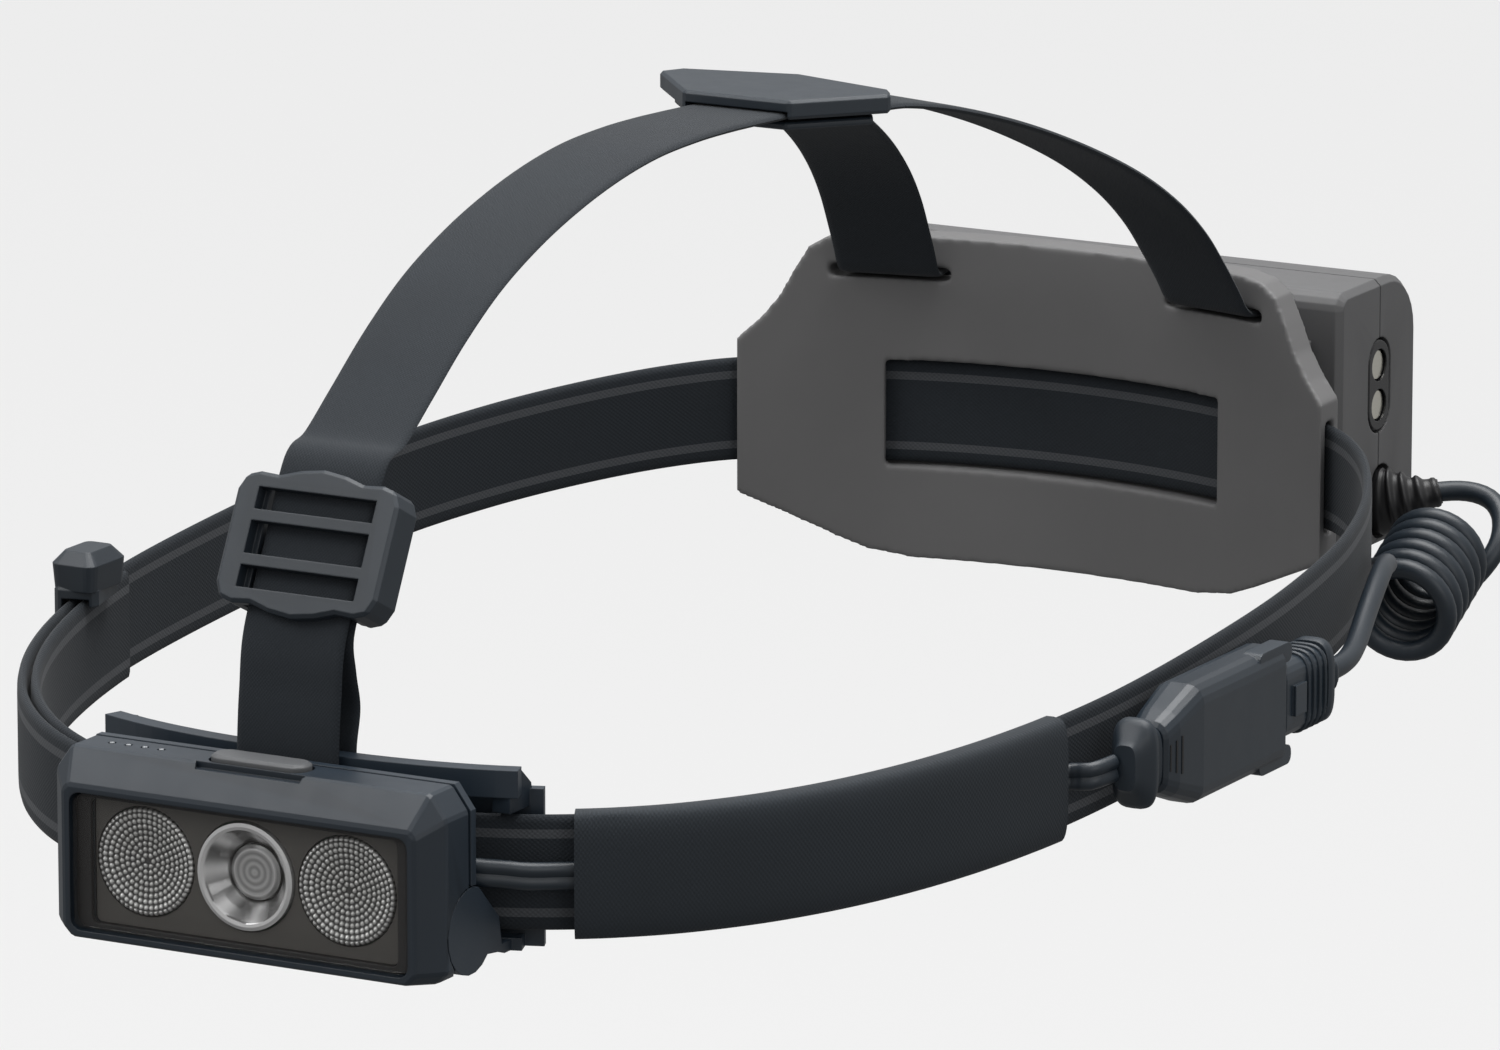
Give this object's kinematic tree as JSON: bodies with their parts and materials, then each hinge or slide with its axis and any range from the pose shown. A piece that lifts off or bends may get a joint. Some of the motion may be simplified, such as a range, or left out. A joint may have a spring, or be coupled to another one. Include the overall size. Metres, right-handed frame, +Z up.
{
  "type": "headlamp",
  "caption": "Headlamp with a tilting lamp on the brow, overhead straps, a curved rear pad with a battery case, and a coiled cord with an in-line connector.",
  "frame": {"origin": "the middle of the space for the head, level with the middle of the headband", "axes": "+Z up; the lamp faces -Y and the battery case is at +Y; the cord, its connector and the charging port are on the +X side"},
  "size_m": [0.1719, 0.2758, 0.0987],
  "materials": {
    "lamp_plastic": "fine satin",
    "fitting_plastic": "satin",
    "connector_plastic": "satin",
    "connector_boot": "matte",
    "optic_plastic": "satin",
    "black_plastic": "satin",
    "case_plastic": "fine matte texture",
    "pad_rubber": "matte",
    "button_rubber": "matte",
    "black_rubber": "matte",
    "cord_jacket": "satin",
    "strap_webbing": "woven",
    "sleeve_fabric": "knitted",
    "clear_plastic": "clear",
    "smoked_window": "smoked and polished",
    "red_lens": "clear red",
    "mirror_coat": "mirror",
    "contact_metal": "plated",
    "heat_sink_metal": "satin",
    "steel": "plain",
    "pin_brass": "plain",
    "circuit_board": "satin",
    "led_chip": "satin",
    "cell_wrap": "shrink sleeve"
  },
  "bodies": {
    "harness": {"mount_bracket": "lamp_plastic", "forehead_pad": "pad_rubber", "headband": "strap_webbing", "cable_sleeve": "sleeve_fabric", "flat_lead": "cord_jacket", "cord_socket": "connector_plastic", "socket_boot": "connector_boot", "plug_pin_lower": "pin_brass", "plug_pin_upper": "pin_brass", "cord_lead": "cord_jacket", "cord_coil": "cord_jacket", "cord_tail": "cord_jacket", "cord_strain_relief": "black_rubber", "top_strap": "strap_webbing", "hub_plate": "fitting_plastic", "hub_backing": "fitting_plastic", "rear_strap_left": "strap_webbing", "rear_strap_right": "strap_webbing", "rear_pad": "pad_rubber", "battery_saddle": "case_plastic", "battery_front_shell": "case_plastic", "battery_rear_shell": "case_plastic", "cell_lower": "cell_wrap", "cell_upper": "cell_wrap", "protection_board": "circuit_board", "charge_port": "black_plastic", "charge_contact_lower": "contact_metal", "charge_contact_upper": "contact_metal", "tail_light_lens": "red_lens", "battery_screw_1": "steel", "battery_screw_2": "steel", "battery_screw_3": "steel"},
    "lamp": {"lamp_front_shell": "lamp_plastic", "lamp_rear_shell": "lamp_plastic", "lamp_screw_left": "steel", "lamp_screw_right": "steel", "hinge_pin_left": "steel", "hinge_pin_right": "steel", "window_lens": "smoked_window", "window_seal": "black_rubber", "optic_frame": "optic_plastic", "led_left": "led_chip", "led_spot": "led_chip", "led_right": "led_chip", "flood_lens_left": "clear_plastic", "flood_lens_right": "clear_plastic", "spot_reflector": "mirror_coat", "spot_lens": "clear_plastic", "led_board": "circuit_board", "heat_sink": "heat_sink_metal", "button_board": "circuit_board", "button_switch": "black_plastic", "indicator_light_pipe": "clear_plastic", "lamp_gland": "black_rubber"},
    "button": {"power_button": "button_rubber"},
    "plug": {"cord_plug": "connector_plastic", "plug_boot": "connector_boot"},
    "buckle": {"strap_buckle": "fitting_plastic"},
    "slider": {"band_slider": "fitting_plastic"}
  },
  "joints": [
    {"name": "lamp_tilt", "type": "hinge", "parent": "harness", "child": "lamp", "pos_m": [0, -0.1196, -0.013], "axis": [1, 0, 0], "range_deg": [0, 60], "deforming": ["flat_lead"]},
    {"name": "button_press", "type": "slide", "parent": "lamp", "child": "button", "axis": [0, 0, -1], "range_m": [0, 0.0006], "stiffness_N_per_m": 1200, "springref_m": -0.0005},
    {"name": "plug_pull", "type": "slide", "parent": "harness", "child": "plug", "axis": [0, 1, 0], "range_m": [0, 0.016], "deforming": ["cord_lead"]},
    {"name": "buckle_slide", "type": "slide", "parent": "harness", "child": "buckle", "axis": [0, 0.454, 0.891], "range_m": [-0.0025, 0.0025]},
    {"name": "slider_slide", "type": "slide", "parent": "harness", "child": "slider", "axis": [-0.1924, 0.979, 0.0676], "range_m": [-0.004, 0.004]}
  ]
}
